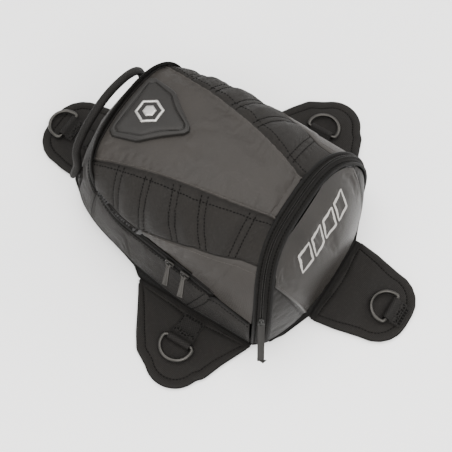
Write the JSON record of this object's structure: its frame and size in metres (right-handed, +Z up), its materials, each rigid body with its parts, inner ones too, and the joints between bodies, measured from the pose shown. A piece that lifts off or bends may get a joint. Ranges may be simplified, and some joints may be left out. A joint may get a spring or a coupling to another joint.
{
  "type": "motorcycle tank bag",
  "caption": "Soft bag with a domed quilted lid, an arched front pocket, a rear grab handle and flat mounting wings with rings.",
  "frame": {"origin": "on the ground under the middle of the outline, between the tips of the front and rear wings", "axes": "+Z up, +Y towards the rear handle, -Y towards the front pocket, x = 0 is the plane of symmetry"},
  "size_m": [0.3772, 0.4422, 0.1449],
  "materials": {
    "black_nylon": "matte woven nylon",
    "grey_coated_fabric": "satin coated cloth",
    "grey_glossy_fabric": "glossy coated cloth",
    "black_webbing": "ribbed webbing",
    "zip_tape": "moulded zip teeth on woven tape",
    "grey_lining": "thin matte lining",
    "anti_slip_rubber": "matte",
    "stiffener_board": "matte",
    "moulded_rubber": "satin moulded",
    "silver_badge": "metallised",
    "gunmetal": "dark polished",
    "black_metal": "satin black",
    "magnet": "plated"
  },
  "bodies": {
    "bag": {"arch_band": "black_nylon", "arch_zip_teeth": "zip_tape", "base_mat": "anti_slip_rubber", "floor_board": "stiffener_board", "handle_anchor_left": "black_webbing", "handle_anchor_right": "black_webbing", "nose_quilt_left": "black_nylon", "nose_quilt_right": "black_nylon", "nose_wall_left": "black_nylon", "nose_wall_right": "black_nylon", "nose_wedge_left": "grey_coated_fabric", "nose_wedge_right": "grey_coated_fabric", "pocket_divider": "grey_lining", "tub_wall_left": "black_nylon", "tub_wall_rear": "black_nylon", "tub_wall_right": "black_nylon", "tub_zip_tape": "zip_tape"},
    "lid": {"emblem_badge": "silver_badge", "emblem_shield": "moulded_rubber", "lid_lining": "grey_lining", "lid_zip_tape": "zip_tape", "quilt_panel_left": "black_nylon", "quilt_panel_right": "black_nylon", "top_panel": "grey_coated_fabric", "wedge_panel_left": "grey_coated_fabric", "wedge_panel_right": "grey_coated_fabric"},
    "flap": {"flap_band": "black_nylon", "flap_gusset_left": "grey_coated_fabric", "flap_gusset_right": "grey_coated_fabric", "flap_panel": "grey_glossy_fabric", "flap_zip_teeth": "zip_tape"},
    "front_pull": {"front_main_pull": "gunmetal"},
    "front_slider": {"front_main_slider": "gunmetal"},
    "front_ring": {"front_ring": "gunmetal"},
    "front_wing": {"front_strap": "black_webbing", "front_wing_cover": "black_nylon", "front_wing_magnet": "magnet", "front_wing_underside": "anti_slip_rubber"},
    "handle": {"grab_handle": "black_webbing"},
    "left_ring": {"left_ring": "gunmetal"},
    "left_wing": {"left_strap": "black_webbing", "left_wing_cover": "black_nylon", "left_wing_magnet": "magnet", "left_wing_underside": "anti_slip_rubber"},
    "pocket_pull": {"pocket_pull": "black_webbing"},
    "pocket_slider": {"pocket_slider": "black_metal"},
    "rear_pull": {"rear_main_pull": "gunmetal"},
    "rear_slider": {"rear_main_slider": "gunmetal"},
    "rear_ring": {"rear_ring": "gunmetal"},
    "rear_wing": {"rear_strap": "black_webbing", "rear_wing_cover": "black_nylon", "rear_wing_magnet": "magnet", "rear_wing_underside": "anti_slip_rubber"},
    "right_ring": {"right_ring": "gunmetal"},
    "right_wing": {"right_strap": "black_webbing", "right_wing_cover": "black_nylon", "right_wing_magnet": "magnet", "right_wing_underside": "anti_slip_rubber"}
  },
  "joints": [
    {"name": "lid_hinge", "type": "hinge", "parent": "bag", "child": "lid", "pos_m": [0, -0.0685, 0.1202], "axis": [1, 0, 0], "range_deg": [0, 70]},
    {"name": "flap_hinge", "type": "hinge", "parent": "bag", "child": "flap", "pos_m": [0, -0.134, 0.0049], "axis": [1, 0, 0], "range_deg": [0, 80]},
    {"name": "handle_hinge", "type": "hinge", "parent": "bag", "child": "handle", "pos_m": [0, 0.14016, 0.05499], "axis": [1, 0, 0], "range_deg": [-70, 0]},
    {"name": "rear_wing_hinge", "type": "hinge", "parent": "bag", "child": "rear_wing", "pos_m": [0, 0.1591, 0.0043], "axis": [1, 0, 0], "range_deg": [0, 52]},
    {"name": "front_wing_hinge", "type": "hinge", "parent": "bag", "child": "front_wing", "pos_m": [0, -0.1341, 0.0043], "axis": [1, 0, 0], "range_deg": [-60, 0]},
    {"name": "left_wing_hinge", "type": "hinge", "parent": "bag", "child": "left_wing", "pos_m": [-0.1061, -0.0375, 0.0043], "axis": [0, 1, 0], "range_deg": [0, 60]},
    {"name": "right_wing_hinge", "type": "hinge", "parent": "bag", "child": "right_wing", "pos_m": [0.1061, -0.0375, 0.0043], "axis": [0, 1, 0], "range_deg": [-60, 0]},
    {"name": "rear_ring_hinge", "type": "hinge", "parent": "rear_wing", "child": "rear_ring", "pos_m": [0, 0.1986, 0.0085], "axis": [-1, 0, 0], "range_deg": [-150, 0]},
    {"name": "front_ring_hinge", "type": "hinge", "parent": "front_wing", "child": "front_ring", "pos_m": [0, -0.2001, 0.0085], "axis": [1, 0, 0], "range_deg": [0, 150]},
    {"name": "left_ring_hinge", "type": "hinge", "parent": "left_wing", "child": "left_ring", "pos_m": [-0.1421, -0.0375, 0.0085], "axis": [0, -1, 0], "range_deg": [-150, 0]},
    {"name": "right_ring_hinge", "type": "hinge", "parent": "right_wing", "child": "right_ring", "pos_m": [0.1421, -0.0375, 0.0085], "axis": [0, -1, 0], "range_deg": [0, 150]},
    {"name": "front_slider_slide", "type": "slide", "parent": "bag", "child": "front_slider", "axis": [0.0916, 0.9805, 0.1741], "range_m": [-0.022, 0]},
    {"name": "rear_slider_slide", "type": "slide", "parent": "bag", "child": "rear_slider", "axis": [0.0916, 0.9805, 0.1741], "range_m": [0, 0.045]},
    {"name": "front_pull_hinge", "type": "hinge", "parent": "front_slider", "child": "front_pull", "pos_m": [-0.10103, -0.01698, 0.0635], "axis": [-0.0916, -0.9805, -0.1741], "range_deg": [-65, 35]},
    {"name": "rear_pull_hinge", "type": "hinge", "parent": "rear_slider", "child": "rear_pull", "pos_m": [-0.09933, 0.00121, 0.06673], "axis": [-0.0916, -0.9805, -0.1741], "range_deg": [-65, 35]},
    {"name": "pocket_slider_slide", "type": "slide", "parent": "flap", "child": "pocket_slider", "axis": [0.2371, 0.1274, 0.9631], "range_m": [-0.015, 0.008]},
    {"name": "pocket_pull_hinge", "type": "hinge", "parent": "pocket_slider", "child": "pocket_pull", "pos_m": [-0.10327, -0.10664, 0.06494], "axis": [-0.5303, 0.8476, 0.0184], "range_deg": [-15, 90]}
  ]
}
